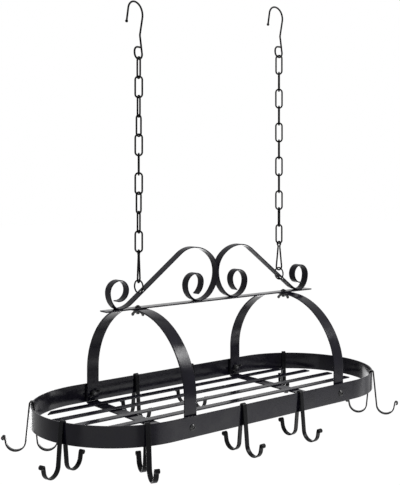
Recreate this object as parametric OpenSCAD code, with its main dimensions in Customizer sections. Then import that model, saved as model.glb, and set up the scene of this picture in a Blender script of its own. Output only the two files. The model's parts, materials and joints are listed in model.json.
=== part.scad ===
// Hanging pot rack: an oval strap rim with slats, carried by two arches, a top bar with
// scrolls, rings, two chains and two ceiling hooks, with nine double hooks on the rim.
// Millimetres, +Z up, +X along the rack. The origin lies midway between the two
// ceiling hooks, at the mean height of the bends that hang on the ceiling.

/* [Basket] */
// Length of the oval rim over its ends
rim_length = 734; // [640:2:860]
// Width of the rim over its sides
rim_width = 304; // [280:2:340]
// Height of the rim strap
rim_height = 34.5; // [30:0.5:45]
// Thickness of the rim strap
rim_t = 2.5; // [2:0.1:3.5]
// Width of a slat
slat_w = 15; // [10:0.5:20]
// Thickness of a slat
slat_t = 2.5; // [1.5:0.1:4]
// Distance from slat to slat
slat_pitch = 48; // [40:0.5:49]
// Space between the rim and the ends of the four inner slats
slat_end_gap = 19; // [14:0.5:30]
// Space between the rim and the ends of the two outer slats
outer_slat_end_gap = 15; // [14:0.5:30]
// How much further the two outer slats reach on their inner edge
slat_mitre = 15; // [0:0.5:18]
// Width of the two cross-bars under the slats
crossbar_w = 25; // [18:0.5:30]
// Thickness of the cross-bars and of their bent-up tabs
crossbar_t = 2.5; // [2:0.1:3.5]
// Bend radius of the tabs, to the middle of the bar
crossbar_bend_r = 4; // [3:0.1:6]
// Height of a tab above the bottom edge of the rim
tab_h = 29; // [25:0.5:30]

/* [Arches] */
// Distance from the middle of the rack to each arch
arch_x = 178; // [160:1:190]
// Width of an arch strap
arch_w = 25; // [18:0.5:30]
// Thickness of an arch strap
arch_t = 2.5; // [2:0.1:3.5]
// Height of the arch's top face above the middle of the rim
arch_h = 173.25; // [165:0.25:185]
// Height at which the straight legs start to curve
arch_spring_h = 45; // [30:1:56]
// Radius of the shoulders, to the middle of the strap
arch_side_r = 110; // [95:1:115]
// Length of the flat at the top, where the bar and the wing nut seat
arch_flat = 20; // [16:1:26]
// Space between the lower end of a leg and the cross-bar
arch_foot_gap = 4; // [3:0.25:8]

/* [Top bar] */
// Length of the top bar
bar_length = 500; // [490:2:540]
// Width of the top bar
bar_w = 20; // [16:0.5:26]
// Thickness of the top bar
bar_t = 2.5; // [2:0.1:4]

/* [Scrolls] */
// Width of the scroll strip
scroll_w = 16; // [15:0.5:20]
// Thickness of the scroll strip
scroll_t = 2; // [1.5:0.1:2.6]
// Slope of the straight run, in degrees
scroll_slope = 36.5; // [34:0.25:39]
// Radius where the straight run turns into the crest
shoulder_r = 50; // [40:1:60]
// Radius of the crest
crest_r = 62; // [56:1:66]
// Radius above the point where the two scrolls meet
bow_r = 42; // [38:1:46]
// Radius below the point where the two scrolls meet
belly_r = 55; // [50:1:60]
// Radius where the inner volute touches the bar
foot_r = 38; // [34:1:42]
// Radius of the inner volute's first quarter turn
inner_volute_outer_r = 29; // [26:1:32]
// Radius of the inner volute's second quarter turn
inner_volute_middle_r = 21; // [19:1:24]
// Radius of the inner volute's third quarter turn
inner_volute_core_r = 16; // [14:1:18]
// Radius of the inner volute's last stretch
inner_tail_r = 26; // [20:1:32]
// Radius where the straight run turns down to the bar
heel_r = 40; // [30:1:50]
// Radius where the outer volute leaves the bar
outer_foot_r = 16; // [14:1:20]
// Radius of the outer volute's side
outer_side_r = 34; // [30:1:38]
// Radius of the outer volute over its top
outer_volute_top_r = 20; // [18:0.5:22]
// Radius of the outer volute on its inner side
outer_volute_core_r = 17.5; // [16:0.5:19]
// Radius of the outer volute's last stretch
outer_tail_r = 18; // [15:0.5:22]

/* [Rings] */
// Distance from the middle of the rack to each ring
ring_x = 172; // [168:0.5:182]
// Diameter of a ring, to the middle of its wire
ring_d = 23; // [22:0.25:26]
// Wire of the rings
ring_wire = 2.8; // [2.2:0.1:3.2]
// Hole in the scroll strip for the ring
ring_hole_d = 10.2; // [9.8:0.1:10.6]
// Strip left between that hole and the back edge
ring_bridge = 4; // [3.4:0.1:4.2]
// Place of that hole up the slope from the middle of the ring
ring_hole_up = 0.75; // [0.5:0.05:1]

/* [Chains] */
// Wire of the chain links
link_wire = 3.2; // [2.6:0.1:3.4]
// Outside width of a chain link
link_w = 15.6; // [15:0.1:19]
// Height that each link adds to its chain
link_pitch = 33.9; // [30:0.1:40]
// Radius of the tapered link's small top loop
taper_top_r = 4.2; // [4:0.1:5]
// Radius of the tapered link's neck
taper_neck_r = 4; // [3.5:0.1:5]
// Lean of the tapered link's straight sides, in degrees
taper_lean = 7; // [6:0.25:9]
// Length of the tapered link's straight sides
taper_side = 39; // [34:0.5:46]

/* [Ceiling hooks] */
// Rod of the ceiling hooks
hook_rod = 3.4; // [3:0.1:3.8]
// Ball on the hook's open end
hook_ball_d = 5.4; // [4.5:0.1:7]
// Radius of the eye beside the shank
eye_shank_r = 8.8; // [8.4:0.1:10]
// Radius of the eye on its open side
eye_open_r = 11; // [10:0.1:12]
// Radius where the eye closes on the shank
eye_close_r = 8; // [7:0.1:9]
// Straight side of the eye
eye_side = 2; // [1:0.1:4]
// Straight shank from the eye to the kink
shank_lower = 31; // [28:0.5:36]
// Straight shank from the kink to the bend
shank_upper = 30; // [24:0.5:36]
// Radius of the kink in the shank
kink_r = 8; // [6:0.5:12]
// Radius of the bend over the shank
hook_bend_r = 21.5; // [20:0.5:24]
// Radius of the bend towards the ball
hook_nose_r = 16; // [14:0.5:18]
// Straight stretch that ends in the ball
hook_nose = 24; // [18:0.5:30]

/* [Pot hooks] */
// Width of a pot hook's strip
pot_hook_w = 8.5; // [6:0.5:10]
// Thickness of a pot hook's strip
pot_hook_t = 2.5; // [1.8:0.1:2.8]
// Inside radius of the saddle on the rim
saddle_r = 2.2; // [2.1:0.05:2.6]
// Angle of each leg from the vertical
pot_leg_lean = 5.7; // [5:0.1:6.5]
// Length of each straight leg
pot_leg = 65; // [60:0.5:75]
// Radius of the J, to the middle of the strip
pot_j_r = 17; // [14:0.5:20]
// Straight rise after the J
pot_rise = 9; // [6:0.5:12]
// Radius of the tightly curled tip, to the middle of the strip
pot_tip_r = 2.5; // [2.3:0.1:3]
// Place of the left hook on the front side, from the middle of the rack
front_left_hook_x = -67; // [-80:1:-55]
// Place of the right hook on the front side, from the middle of the rack
front_right_hook_x = 70; // [55:1:80]
// Place of the left hook on the back side, from the middle of the rack
back_left_hook_x = -76; // [-88:1:-64]
// Place of the right hook on the back side, from the middle of the rack
back_right_hook_x = 63; // [52:1:76]
// Place of the first hook on the left end, in degrees from -X towards the front
left_hook_1_angle = 19; // [14:1:24]
// Place of the second hook on the left end, in degrees from -X towards the front
left_hook_2_angle = 72; // [66:1:76]
// Place of the third hook on the left end, in degrees from -X towards the back
left_hook_3_angle = 36; // [30:1:44]
// Place of the front hook on the right end, in degrees from +X towards the front
right_hook_1_angle = 55; // [48:1:62]
// Place of the back hook on the right end, in degrees from +X towards the back
right_hook_2_angle = 55; // [48:1:62]

/* [Fasteners] */
// Diameter of the bolts
bolt_d = 6; // [5:0.1:7]
// Height of the rim bolts above the bottom edge of the rim
rim_bolt_h = 16.2; // [14:0.1:20]
// Length of a bolt's end that stands out of its nut
bolt_end = 2; // [1:0.5:4]
// Diameter of the button heads
bolt_head_d = 11; // [10:0.5:14]
// Height of the button heads
bolt_head_h = 3.3; // [2.5:0.1:4]
// Width of the hexagon socket
socket_w = 4; // [3:0.1:5]
// Depth of the hexagon socket
socket_depth = 2; // [1.5:0.1:2.5]
// Height of a wing nut's hub
wing_hub_h = 5; // [4:0.25:7]
// Diameter of a wing nut's hub at its seat
wing_hub_d = 10.5; // [9.5:0.25:12]
// Span of a wing nut over its two wings
wing_span = 24; // [20:0.5:28]
// Height of a wing nut over its wings
wing_h = 10.5; // [9:0.25:13]
// Radius of a wing's round tip
wing_tip_r = 3; // [2.5:0.25:3.5]
// Thickness of the wings
wing_t = 2; // [1.5:0.1:2.5]

/* [Clearances] */
// Play between two links, or a link and a hook or ring
link_play = 0.35; // [0.25:0.05:0.5]
// Play between a ring and the scroll that hangs on it
ring_play = 0.6; // [0.5:0.05:0.8]
// Play between a pot hook and the rim
rim_play = 0.3; // [0.25:0.05:0.4]
// Play between a bolt and its holes, on the diameter
hole_play = 0.4; // [0.3:0.05:0.8]
// Play between a bolt and its nut, on the diameter
thread_play = 0.2; // [0.1:0.05:0.3]

/* [Hidden] */
$fn = 64;
arc_fn = 96;
facet = 5;
wire_facet = 9;
wire_sides = 12;
steel = [0.15, 0.15, 0.17];
dark_steel = [0.1, 0.1, 0.11];

link_count = [10, 11];

// Turn of each link about the vertical, from the top of its chain down, in degrees
left_link_yaw = [79, -39, 75, 15, -45, 51, -45, 15, 75, -45];
right_link_yaw = [-64, 51, -39, 51, -39, 51, -39, 51, -39, 56, -69];
taper_yaw = [38, -1];
ring_yaw = [-86, -90];
hook_yaw = [13, 2];
rim_nut_turn = 25;
top_nut_turn = 50;

// Basket: heights are from the middle of the rim
end_r = rim_width / 2;
end_x = rim_length / 2 - end_r;
rim_bottom = -rim_height / 2;
rim_top = rim_height / 2;
rim_mid_r = end_r - rim_t / 2;
inner_y = end_r - rim_t;
tab_y = inner_y - crossbar_t / 2;
crossbar_z = rim_bottom - crossbar_t / 2;
bolt_z = rim_bottom + rim_bolt_h;

// Arches: the centre line bends down from the flat. A wide arch has a top arc of a larger
// radius before each shoulder, and a tall one a straight run between two arcs of one radius.
leg_y = inner_y - crossbar_t - arch_t / 2;
arch_apex = arch_h - arch_t / 2;
shoulder_y = leg_y - arch_side_r - arch_flat / 2;
arch_extra = arch_apex - arch_spring_h - arch_side_r;
top_drop = (shoulder_y ^ 2 - arch_extra ^ 2) / (2 * arch_extra);
arch_top_r = arch_side_r + arch_extra + top_drop;
shoulder_turn = atan2(top_drop, shoulder_y);
tall_turn = atan2(arch_extra, shoulder_y);
arch_bend = top_drop > 0
    ? [[arch_top_r, shoulder_turn - 90], [arch_side_r, -shoulder_turn]]
    : [[arch_side_r, -tall_turn], [norm([shoulder_y, arch_extra]), 0], [arch_side_r, tall_turn - 90]];
leg_bottom = crossbar_z + crossbar_t / 2 + arch_foot_gap;

// Scrolls: both feet of each scroll lie on the bar, and the two bows meet at x = 0
bar_top = arch_h + bar_t;
strip_z = bar_top + scroll_t / 2;
rise = (crest_r + foot_r) * (1 - cos(45)) + (bow_r + belly_r) * cos(45);
crest_z = strip_z + rise;
crest_x = -scroll_t / 2 - crest_r * sin(45) - bow_r * (1 - cos(45));
run_length = (rise - (shoulder_r + heel_r) * (1 - cos(scroll_slope))) / sin(scroll_slope);
heel_end_x = crest_x - shoulder_r * sin(scroll_slope) - run_length * cos(scroll_slope);
heel_end_z = strip_z + heel_r * (1 - cos(scroll_slope));
inner_tail_turn = 58;
outer_tail_turn = 100;
inner_steps = [
    [crest_r, -45], [bow_r, -45], [belly_r, -45], [foot_r, -45],
    [inner_volute_outer_r, -90], [inner_volute_middle_r, -90], [inner_volute_core_r, -90],
    [inner_tail_r, -inner_tail_turn]
];
outer_steps = [
    [shoulder_r, -scroll_slope], [run_length, 0], [heel_r, scroll_slope],
    [outer_foot_r, 45], [outer_side_r, 45],
    [outer_volute_top_r, 90], [outer_volute_core_r, 90], [outer_tail_r, outer_tail_turn]
];

// Rings: each passes through its hole and round the back edge of the strip
ring_y = scroll_w / 2 - ring_bridge / 2;
ring_hole_y = scroll_w / 2 - ring_bridge - ring_hole_d / 2;
strip_at_ring = heel_end_z + (-ring_x - heel_end_x) * tan(scroll_slope);
ring_seat = (scroll_t + ring_wire) / 2 + ring_play;
ring_z = strip_at_ring - ring_seat / cos(scroll_slope) + ring_d / 2;

// Chains: heights of the wire centres, from the rings up
taper_bottom = ring_z + ring_d / 2 - (ring_wire + link_wire) / 2 - link_play;
neck_turn = 40;
neck_x = taper_top_r * sin(90 + neck_turn)
    - taper_neck_r * (cos(taper_lean) - sin(90 + neck_turn));
neck_z = taper_top_r * (1 - cos(90 + neck_turn))
    + taper_neck_r * (sin(taper_lean) - cos(90 + neck_turn));
taper_bottom_r = (neck_x + taper_side * sin(taper_lean)) / cos(taper_lean);
taper_length = neck_z + taper_side * cos(taper_lean) + taper_bottom_r * (1 + sin(taper_lean));
taper_top = taper_bottom + taper_length;
link_mean_r = (link_w - link_wire) / 2;
link_length = link_pitch + link_wire + link_play;
link_straight = link_length - link_mean_r * 2;
function link_top(side, number) = taper_top + (link_count[side] - number + 1) * link_pitch;

// Ceiling hooks: one rod from its end in the eye, round the eye, up the shank to the ball
shank_turn = 100;
kink_turn = 22;
nose_turn = 80;
ball_end = 170;
ball_rings = 8;
eye_top = eye_open_r + eye_side + eye_close_r;
shank_at_eye_top = eye_shank_r * sin(shank_turn)
    + (eye_top - eye_shank_r * (1 - cos(shank_turn))) / tan(shank_turn);
eye_end_x = shank_at_eye_top - hook_rod / 2 - link_play;
eye_end = eye_end_x + eye_open_r - eye_close_r;
hook_steps = [
    [eye_end, 0], [eye_close_r, 90], [eye_side, 0], [eye_open_r, 90],
    [eye_shank_r, shank_turn], [shank_lower, 0], [kink_r, -kink_turn], [shank_upper, 0],
    [hook_bend_r, 180 - shank_turn + kink_turn], [hook_nose_r, nose_turn], [hook_nose, 0]
];
hook_start = [eye_end_x, eye_top, 180];
hook_ball = walk(hook_steps, hook_start);
hook_bend_end = walk([for (i = [0:8]) hook_steps[i]], hook_start);
bearing_up = hook_bend_end.y - hook_rod / 2;
function eye_z(side) = link_top(side, 1) - (hook_rod + link_wire) / 2 - link_play;

// The rack hangs below the mean height of the two bearing points
rack_z = -(eye_z(0) + eye_z(1)) / 2 - bearing_up;

// Pot hooks
saddle_z = rim_top - sqrt((saddle_r - rim_play) ^ 2 - (rim_t / 2) ^ 2);
saddle_mid_r = saddle_r + pot_hook_t / 2;
pot_j_turn = 164;
pot_tip_turn = 280;

// A bent bar is a list of steps: [length, 0] runs straight and [radius, turn] is an arc to
// the left, or to the right where the turn is negative. A place on it is [x, y, heading].
function moved(at, step) =
    let (h = at.z + step[1], r = sign(step[1]) * step[0])
    step[1] == 0
        ? [at.x + step[0] * cos(at.z), at.y + step[0] * sin(at.z), at.z]
        : [at.x + r * (sin(h) - sin(at.z)), at.y - r * (cos(h) - cos(at.z)), h];
function walk(steps, at = [0, 0, 0], i = 0) =
    i == len(steps) ? at : walk(steps, moved(at, steps[i]), i + 1);
function places(steps, at, angle = facet, i = 0) =
    i == len(steps) ? [at]
    : let (parts = steps[i][1] == 0 ? 1 : ceil(abs(steps[i][1]) / angle))
        concat(
            [at],
            [for (k = [1:1:parts - 1]) moved(at, [steps[i][0], steps[i][1] * k / parts])],
            places(steps, moved(at, steps[i]), angle, i + 1)
        );
function backwards(list) = [for (i = [len(list) - 1:-1:0]) list[i]];
function beside(path, offset) = [for (p = path) [p.x - offset * sin(p.z), p.y + offset * cos(p.z)]];

// A flat strip in the XZ plane. It starts at the left steps' far end, passes the middle at
// [0, 0] going right, and ends with the right steps. The left steps are drawn mirrored.
module strip(left, right, width, thickness) {
    end = walk(left);
    path = places(concat(backwards(left), right), [-end.x, end.y, -end.z]);
    rotate([90, 0, 0]) linear_extrude(width, center = true)
        polygon(concat(beside(path, thickness / 2), backwards(beside(path, -thickness / 2))));
}

// A round wire in the XZ plane, as rings [x, y, heading, radius] of points that follow its
// bends. A closed wire ends where it starts.
function wire(steps, start, diameter) =
    [for (p = places(steps, start, wire_facet)) [p.x, p.y, p.z, diameter / 2]];
module swept(rings, closed = false) {
    count = len(rings) - (closed ? 1 : 0);
    points = [
        for (i = [0:count - 1]) for (k = [0:wire_sides - 1])
            let (p = rings[i], a = 360 * k / wire_sides, out = p[3] * cos(a))
                [p.x - out * sin(p.z), p[3] * sin(a), p.y + out * cos(p.z)]
    ];
    sides = [
        for (i = [0:count - (closed ? 1 : 2)]) for (k = [0:wire_sides - 1])
            let (here = i * wire_sides, next = (i + 1) % count * wire_sides, m = (k + 1) % wire_sides)
                [here + k, next + k, next + m, here + m]
    ];
    first_end = [for (k = [0:wire_sides - 1]) k];
    last_end = [for (k = [wire_sides - 1:-1:0]) (count - 1) * wire_sides + k];
    polyhedron(points, closed ? sides : concat(sides, [first_end, last_end]));
}

module oval(radius) {
    for (side = [-1, 1]) translate([side * end_x, 0]) circle(r = radius, $fn = 160);
    square([2 * end_x, 2 * radius], center = true);
}

// The four bolt places on the rim, with the bolt's axis along the child's +Z, inwards
module at_rim_bolts() {
    for (x = [-arch_x, arch_x]) for (y = [-1, 1])
        translate([x, y * end_r, bolt_z]) rotate([y * 90, 0, 0]) children();
}

// The two bolt places on the top bar, with the bolt's axis along the child's +Z, down
module at_top_bolts() {
    for (x = [-arch_x, arch_x]) translate([x, 0, bar_top]) rotate([180, 0, 0]) children();
}

module bolt_hole(depth) {
    translate([0, 0, -1]) cylinder(d = bolt_d + hole_play, h = depth + 2, $fn = 48);
}

module rim() {
    color(steel) difference() {
        translate([0, 0, rim_bottom]) linear_extrude(rim_height) difference() {
            oval(end_r);
            oval(inner_y);
        }
        at_rim_bolts() bolt_hole(rim_t);
    }
}

// Slats are counted from the front to the back. The outer two have mitred ends.
module slat(number) {
    y = (number - 3.5) * slat_pitch;
    outer = number == 1 || number == 6;
    end_gap = outer ? outer_slat_end_gap : slat_end_gap;
    out = sign(y) * slat_w / 2;
    out_x = end_x + sqrt(inner_y ^ 2 - (y + out) ^ 2) - end_gap;
    in_x = out_x + (outer ? slat_mitre : 0);
    color(steel) translate([0, y, rim_bottom]) linear_extrude(slat_t)
        polygon([[-out_x, out], [out_x, out], [in_x, -out], [-in_x, -out]]);
}

module crossbar(side) {
    flat = tab_y - crossbar_bend_r;
    tab = rim_bottom + tab_h - crossbar_z - crossbar_bend_r;
    half = [[flat, 0], [crossbar_bend_r, 90], [tab, 0]];
    color(steel) difference() {
        translate([side * arch_x, 0, crossbar_z]) rotate([0, 0, 90])
            strip(half, half, crossbar_w, crossbar_t);
        at_rim_bolts() bolt_hole(rim_t + crossbar_t);
    }
}

module arch(side) {
    leg = arch_spring_h - leg_bottom;
    half = concat([[arch_flat / 2, 0]], arch_bend, [[leg, 0]]);
    color(steel) difference() {
        translate([side * arch_x, 0, arch_apex]) rotate([0, 0, 90])
            strip(half, half, arch_w, arch_t);
        at_rim_bolts() bolt_hole(rim_t + crossbar_t + arch_t);
        at_top_bolts() bolt_hole(bar_t + arch_t);
    }
}

module top_bar() {
    color(steel) difference() {
        translate([-bar_length / 2, -bar_w / 2, arch_h]) cube([bar_length, bar_w, bar_t]);
        at_top_bolts() bolt_hole(bar_t);
    }
}

// The left scroll; the right one is its mirror image
module scroll() {
    color(steel) difference() {
        translate([crest_x, 0, crest_z]) strip(outer_steps, inner_steps, scroll_w, scroll_t);
        translate([-ring_x, ring_hole_y, strip_at_ring]) rotate([0, -scroll_slope, 0])
            translate([ring_hole_up, 0, 0])
                cylinder(d = ring_hole_d, h = 3 * scroll_t, center = true, $fn = 48);
    }
}

// A button-head bolt with its head above z = 0 on the outside and its shank along +Z
module bolt(grip) {
    shank = grip + wing_hub_h + bolt_end;
    dome_r = 2 * bolt_head_h;
    color(dark_steel) difference() {
        union() {
            cylinder(d = bolt_d, h = shank, $fn = 48);
            intersection() {
                translate([0, 0, -bolt_head_h]) cylinder(d = bolt_head_d, h = bolt_head_h, $fn = 48);
                translate([0, 0, dome_r - bolt_head_h]) sphere(r = dome_r, $fn = 48);
            }
        }
        translate([0, 0, -bolt_head_h - 1])
            cylinder(d = socket_w / cos(30), h = 1 + socket_depth, $fn = 6);
    }
}

// A wing nut on its seat at z = 0
module wing_nut() {
    tip_x = wing_span / 2 - wing_tip_r;
    tip_z = wing_h - wing_tip_r;
    foot_z = wing_hub_h / 6;
    color(dark_steel) difference() {
        union() {
            cylinder(d1 = wing_hub_d, d2 = wing_hub_d - 2, h = wing_hub_h, $fn = 48);
            for (turn = [0, 180]) rotate([90, 0, turn]) linear_extrude(wing_t, center = true) {
                polygon([
                    [0, foot_z], [wing_hub_d / 2, foot_z],
                    [tip_x + wing_tip_r * cos(30), tip_z - wing_t / 2],
                    [tip_x - wing_tip_r * cos(30), tip_z + wing_t / 2], [0, wing_hub_h - foot_z]
                ]);
                translate([tip_x, tip_z]) circle(r = wing_tip_r, $fn = 32);
            }
        }
        translate([0, 0, -1]) cylinder(d = bolt_d + thread_play, h = wing_h + 2, $fn = 48);
    }
}

module rim_bolts() {
    at_rim_bolts() bolt(rim_t + crossbar_t + arch_t);
}

module rim_wing_nuts() {
    at_rim_bolts() translate([0, 0, rim_t + crossbar_t + arch_t]) rotate([0, 0, rim_nut_turn]) wing_nut();
}

module top_bolts() {
    at_top_bolts() bolt(bar_t + arch_t);
}

module top_wing_nuts() {
    at_top_bolts() translate([0, 0, bar_t + arch_t]) rotate([0, 0, top_nut_turn]) wing_nut();
}

// side is 0 on the left and 1 on the right, in the modules of the rings, chains and hooks
module at_chain(side, height, yaw) {
    translate([side == 0 ? -ring_x : ring_x, ring_y, height]) rotate([0, 0, yaw]) children();
}

module ring(side) {
    color(dark_steel) at_chain(side, ring_z, ring_yaw[side]) rotate([90, 0, 0])
        rotate_extrude($fn = arc_fn) translate([ring_d / 2, 0]) circle(d = ring_wire, $fn = 32);
}

module tapered_link(side) {
    half_turn = 90 + neck_turn;
    neck_and_side = [[taper_neck_r, neck_turn + taper_lean], [taper_side, 0]];
    steps = concat(
        [[taper_top_r, -2 * half_turn]], neck_and_side,
        [[taper_bottom_r, -180 - 2 * taper_lean]], backwards(neck_and_side)
    );
    start = [-taper_top_r * sin(half_turn), -taper_top_r * (1 - cos(half_turn)), half_turn];
    color(dark_steel) at_chain(side, taper_top, taper_yaw[side])
        swept(wire(steps, start, link_wire), closed = true);
}

module chain_link(side, number) {
    yaw = side == 0 ? left_link_yaw[number - 1] : right_link_yaw[number - 1];
    color(dark_steel) at_chain(side, link_top(side, number) - link_mean_r, yaw) {
        for (turn = [0, 180])
            translate([0, 0, -turn / 180 * link_straight]) rotate([90, turn, 0])
                rotate_extrude(angle = 180, $fn = arc_fn)
                    translate([link_mean_r, 0]) circle(d = link_wire, $fn = 32);
        for (x = [-link_mean_r, link_mean_r])
            translate([x, 0, -link_straight]) cylinder(d = link_wire, h = link_straight, $fn = 32);
    }
}

// The rod ends in a ball, which swells from the rod's own radius
module ceiling_hook(side) {
    rod = wire(hook_steps, hook_start, hook_rod);
    ball_r = hook_ball_d / 2;
    swell = asin(hook_rod / hook_ball_d);
    ball = [
        for (i = [0:ball_rings])
            let (t = swell + (ball_end - swell) * i / ball_rings) [
                hook_ball.x - ball_r * cos(t) * cos(hook_ball.z),
                hook_ball.y - ball_r * cos(t) * sin(hook_ball.z),
                hook_ball.z, ball_r * sin(t)
            ]
    ];
    color(dark_steel) at_chain(side, eye_z(side), hook_yaw[side])
        swept(concat([for (i = [0:len(rod) - 2]) rod[i]], ball));
}

// A double hook over the rim, which runs along Y under the saddle
module pot_hook() {
    half = [
        [saddle_mid_r, pot_leg_lean - 90], [pot_leg, 0], [pot_j_r, pot_j_turn], [pot_rise, 0],
        [pot_tip_r, -pot_tip_turn]
    ];
    color(dark_steel) translate([0, 0, saddle_z + saddle_mid_r])
        strip(half, half, pot_hook_w, pot_hook_t);
}

module side_pot_hook(x, side) {
    translate([x, side * rim_mid_r, 0]) rotate([0, 0, 90]) pot_hook();
}

// side is -1 on the left end and 1 on the right end
module end_pot_hook(angle, side) {
    translate([side * end_x, 0, 0]) rotate([0, 0, side < 0 ? 180 + angle : -angle])
        translate([rim_mid_r, 0, 0]) pot_hook();
}

module hung() {
    translate([0, 0, rack_z]) children();
}

hung() rim();
hung() slat(1);  // slat_1
hung() slat(2);  // slat_2
hung() slat(3);  // slat_3
hung() slat(4);  // slat_4
hung() slat(5);  // slat_5
hung() slat(6);  // slat_6
hung() crossbar(-1);  // crossbar_left
hung() crossbar(1);  // crossbar_right
hung() arch(-1);  // arch_left
hung() arch(1);  // arch_right
hung() top_bar();
hung() scroll();  // scroll_left
hung() mirror([1, 0, 0]) scroll();  // scroll_right
hung() rim_bolts();
hung() rim_wing_nuts();
hung() top_bolts();
hung() top_wing_nuts();
hung() ring(0);  // ring_left
hung() ring(1);  // ring_right
hung() tapered_link(0);  // tapered_link_left
hung() tapered_link(1);  // tapered_link_right
hung() chain_link(0, 1);  // left_link_1
hung() chain_link(0, 2);  // left_link_2
hung() chain_link(0, 3);  // left_link_3
hung() chain_link(0, 4);  // left_link_4
hung() chain_link(0, 5);  // left_link_5
hung() chain_link(0, 6);  // left_link_6
hung() chain_link(0, 7);  // left_link_7
hung() chain_link(0, 8);  // left_link_8
hung() chain_link(0, 9);  // left_link_9
hung() chain_link(0, 10);  // left_link_10
hung() chain_link(1, 1);  // right_link_1
hung() chain_link(1, 2);  // right_link_2
hung() chain_link(1, 3);  // right_link_3
hung() chain_link(1, 4);  // right_link_4
hung() chain_link(1, 5);  // right_link_5
hung() chain_link(1, 6);  // right_link_6
hung() chain_link(1, 7);  // right_link_7
hung() chain_link(1, 8);  // right_link_8
hung() chain_link(1, 9);  // right_link_9
hung() chain_link(1, 10);  // right_link_10
hung() chain_link(1, 11);  // right_link_11
hung() ceiling_hook(0);  // ceiling_hook_left
hung() ceiling_hook(1);  // ceiling_hook_right
hung() end_pot_hook(left_hook_1_angle, -1);  // pot_hook_1
hung() end_pot_hook(left_hook_2_angle, -1);  // pot_hook_2
hung() side_pot_hook(front_left_hook_x, -1);  // pot_hook_3
hung() side_pot_hook(front_right_hook_x, -1);  // pot_hook_4
hung() end_pot_hook(right_hook_1_angle, 1);  // pot_hook_5
hung() end_pot_hook(-right_hook_2_angle, 1);  // pot_hook_6
hung() side_pot_hook(back_right_hook_x, 1);  // pot_hook_7
hung() side_pot_hook(back_left_hook_x, 1);  // pot_hook_8
hung() end_pot_hook(-left_hook_3_angle, -1);  // pot_hook_9
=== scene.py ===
import json
import math

import bmesh
import bpy
from mathutils import Matrix, Vector, noise


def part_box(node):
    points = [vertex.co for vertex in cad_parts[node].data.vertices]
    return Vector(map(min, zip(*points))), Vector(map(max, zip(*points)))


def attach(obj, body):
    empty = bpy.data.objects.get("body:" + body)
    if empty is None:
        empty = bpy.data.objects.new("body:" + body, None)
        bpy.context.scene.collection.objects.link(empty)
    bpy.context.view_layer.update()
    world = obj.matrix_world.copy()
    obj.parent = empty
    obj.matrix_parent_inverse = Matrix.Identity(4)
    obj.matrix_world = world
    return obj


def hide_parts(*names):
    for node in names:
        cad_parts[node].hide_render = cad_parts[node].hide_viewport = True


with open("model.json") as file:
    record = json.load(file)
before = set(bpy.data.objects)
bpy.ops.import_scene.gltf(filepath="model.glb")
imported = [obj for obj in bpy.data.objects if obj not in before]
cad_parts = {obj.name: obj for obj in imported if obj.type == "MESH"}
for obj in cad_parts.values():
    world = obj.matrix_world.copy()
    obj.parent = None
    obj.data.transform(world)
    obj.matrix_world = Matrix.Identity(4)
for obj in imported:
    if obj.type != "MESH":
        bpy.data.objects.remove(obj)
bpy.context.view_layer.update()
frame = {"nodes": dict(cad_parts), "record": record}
bodyOf = {node: body for body, nodes in frame["record"]["behaviour"]["bodies"].items() for node in nodes}

mm = 0.001  # sizes below are in millimetres, places in the frame are in metres
sharpAngle = math.radians(38)  # faces that meet at a larger angle keep a hard edge


# Camera: place in metres, turn in degrees, lens in millimetres
cameraView = {
    "place": (-1.05605, -1.24006, -0.32803),
    "turn": -39.39,
    "lens": 64.475,
    "shiftY": -0.1273,
}


def makeCamera(view):
    lensData = bpy.data.cameras.new("camera")
    lensData.lens = view["lens"]
    lensData.shift_y = view["shiftY"]
    camera = bpy.data.objects.new("camera", lensData)
    camera.location = view["place"]
    camera.rotation_euler = (math.radians(90), 0, math.radians(view["turn"]))
    bpy.context.collection.objects.link(camera)
    bpy.context.scene.camera = camera


makeCamera(cameraView)
print("camera ready")


# A bent bar is a list of steps: (length, 0) runs straight, (radius, turn) is an arc to the left,
# or to the right where the turn is negative. A place on it is (x, z, heading in degrees).
def moveOn(at, size, turn):
    x, z, heading = at
    a = math.radians(heading)
    if turn == 0:
        return (x + size * math.cos(a), z + size * math.sin(a), heading)
    b = math.radians(heading + turn)
    radius = math.copysign(size, turn)
    x += radius * (math.sin(b) - math.sin(a))
    z -= radius * (math.cos(b) - math.cos(a))
    return (x, z, heading + turn)


def pathAlong(steps, start=(0.0, 0.0, 0.0), ringAngle=4.0, holdBack=1.5):
    points = [start]
    for size, turn in steps:
        at = points[-1]
        if turn:
            parts = max(2, math.ceil(abs(turn) / ringAngle))
            points += [moveOn(at, size, turn * k / parts) for k in range(1, parts + 1)]
            continue
        if size > 4 * holdBack:  # rings near both ends keep the shading of a long run flat
            points += [moveOn(at, holdBack, 0), moveOn(at, size - holdBack, 0)]
        points.append(moveOn(at, size, 0))
    return points


def bothWays(left, right, ringAngle=4.0):
    x, z, heading = pathAlong(left)[-1]
    return pathAlong(left[::-1] + right, (-x, z, -heading), ringAngle)


def stripOutline(width, thickness, rounding, inset=0.0, cornerParts=3, faceHold=0.5):
    halfU, halfV = thickness / 2 - inset, width / 2 - inset
    r = max(rounding - inset, 0.04)
    ring = []
    for signU, signV, first in ((1, 1, 0), (-1, 1, 90), (-1, -1, 180), (1, -1, 270)):
        for k in range(cornerParts + 1):
            a = math.radians(first + 90 * k / cornerParts)
            ring.append((signU * (halfU - r) + r * math.cos(a), signV * (halfV - r) + r * math.sin(a)))
        if signU != signV:  # one of the two wide faces follows this corner
            hold = halfV - r - faceHold
            ring += [(signU * halfU, signV * hold), (signU * halfU, -signV * hold)]
    return ring


def wireOutline(radius, sides=20):
    return [
        (radius * math.cos(2 * math.pi * k / sides), radius * math.sin(2 * math.pi * k / sides))
        for k in range(sides)
    ]


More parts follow.
